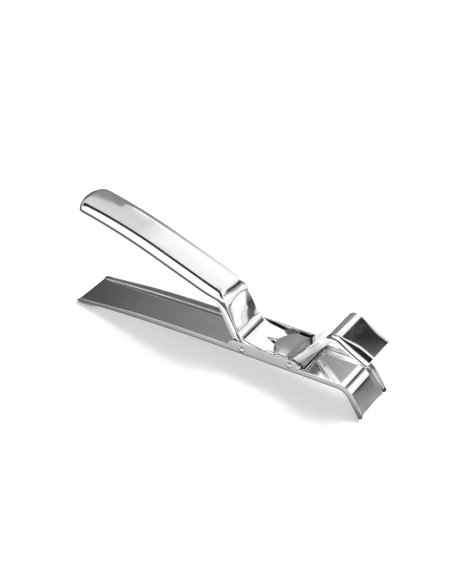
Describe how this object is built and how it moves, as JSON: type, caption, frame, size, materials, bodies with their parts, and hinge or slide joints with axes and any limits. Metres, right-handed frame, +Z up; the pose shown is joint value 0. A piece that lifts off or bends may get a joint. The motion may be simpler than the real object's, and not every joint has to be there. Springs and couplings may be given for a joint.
{
  "type": "hot pan gripper",
  "caption": "Spring-opened lever gripper in bent sheet steel: squeezing the raised handle swings the upper jaw down onto the turned-down lip of the lower channel.",
  "frame": {"origin": "bottom centre of the bounding box, on the surface the gripper lies on", "axes": "+X from the handle end to the jaw and lip, +Y across the part, +Z up"},
  "size_m": [0.2036, 0.0314, 0.073],
  "materials": {
    "polished_sheet": "mirror-polished stainless sheet",
    "rivet_steel": "drawn and peened stainless",
    "spring_steel": "bright drawn spring wire"
  },
  "bodies": {
    "base": {"base_channel": "polished_sheet", "handle_rivet_left": "rivet_steel", "handle_rivet_right": "rivet_steel", "jaw_rivet_left": "rivet_steel", "jaw_rivet_right": "rivet_steel", "spring_rod": "rivet_steel", "torsion_spring": "spring_steel"},
    "handle": {"handle_lever": "polished_sheet"},
    "jaw": {"upper_jaw": "polished_sheet"}
  },
  "joints": [
    {"name": "handle_pivot", "type": "hinge", "parent": "base", "child": "handle", "pos_m": [0.02113, 0, 0.0162], "axis": [0, -1, 0], "range_deg": [0, 28]},
    {"name": "jaw_pivot", "type": "hinge", "parent": "base", "child": "jaw", "pos_m": [0.05293, 0, 0.019], "axis": [0, 1, 0], "range_deg": [0, 37.8], "stiffness_Nm_per_rad": 0.12, "springref_deg": -34.38, "deforming": ["torsion_spring"]}
  ],
  "couplings": [
    {"joint": "jaw_pivot", "follows": "handle_pivot", "ratio": 1.35}
  ]
}
